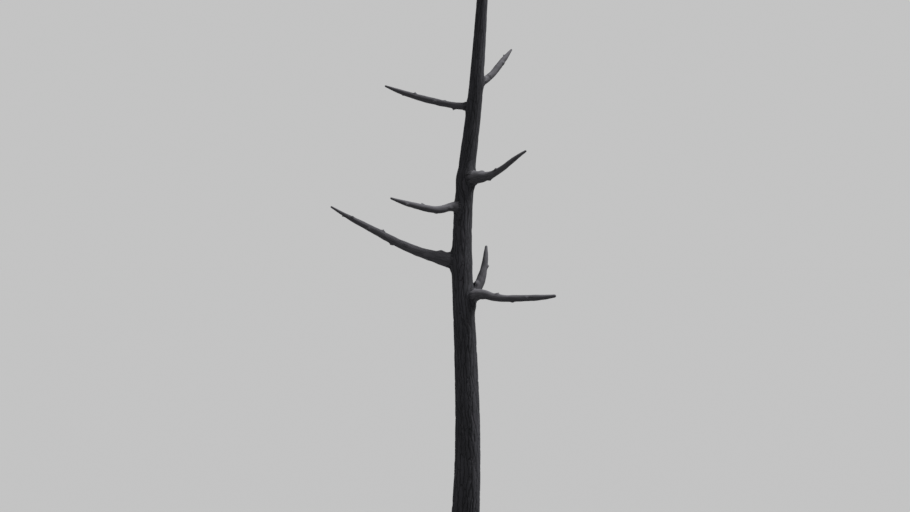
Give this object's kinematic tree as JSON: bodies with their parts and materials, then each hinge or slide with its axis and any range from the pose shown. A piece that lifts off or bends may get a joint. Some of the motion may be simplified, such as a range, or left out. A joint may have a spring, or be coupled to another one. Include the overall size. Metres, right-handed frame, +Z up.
{
  "type": "dead tree",
  "caption": "Bare dead tree: a slender, slightly swaying trunk on a root flare, with short tapering boughs that curve up like horns.",
  "frame": {"origin": "middle of the flat cut at ground level, under the trunk", "axes": "+Z up along the trunk; +X towards the low right bough, which is the right of the front view; +Y towards the back"},
  "size_m": [2.2561, 1.0869, 7.7],
  "materials": {
    "dead_bark": "weathered, charcoal-grey, finely furrowed dead bark",
    "bare_wood": "weathered, barkless, silver-grey wood with drying checks"
  },
  "bodies": {
    "root": {"trunk": "dead_bark", "bough_low_right": "bare_wood", "bough_low_rising": "bare_wood", "bough_long_left": "bare_wood", "bough_mid_left": "bare_wood", "bough_mid_right": "bare_wood", "bough_back": "bare_wood", "bough_high_left": "bare_wood", "bough_high_right": "bare_wood", "bough_top_left": "bare_wood", "bough_top_right": "bare_wood", "bough_top_back": "bare_wood"}
  },
  "joints": []
}
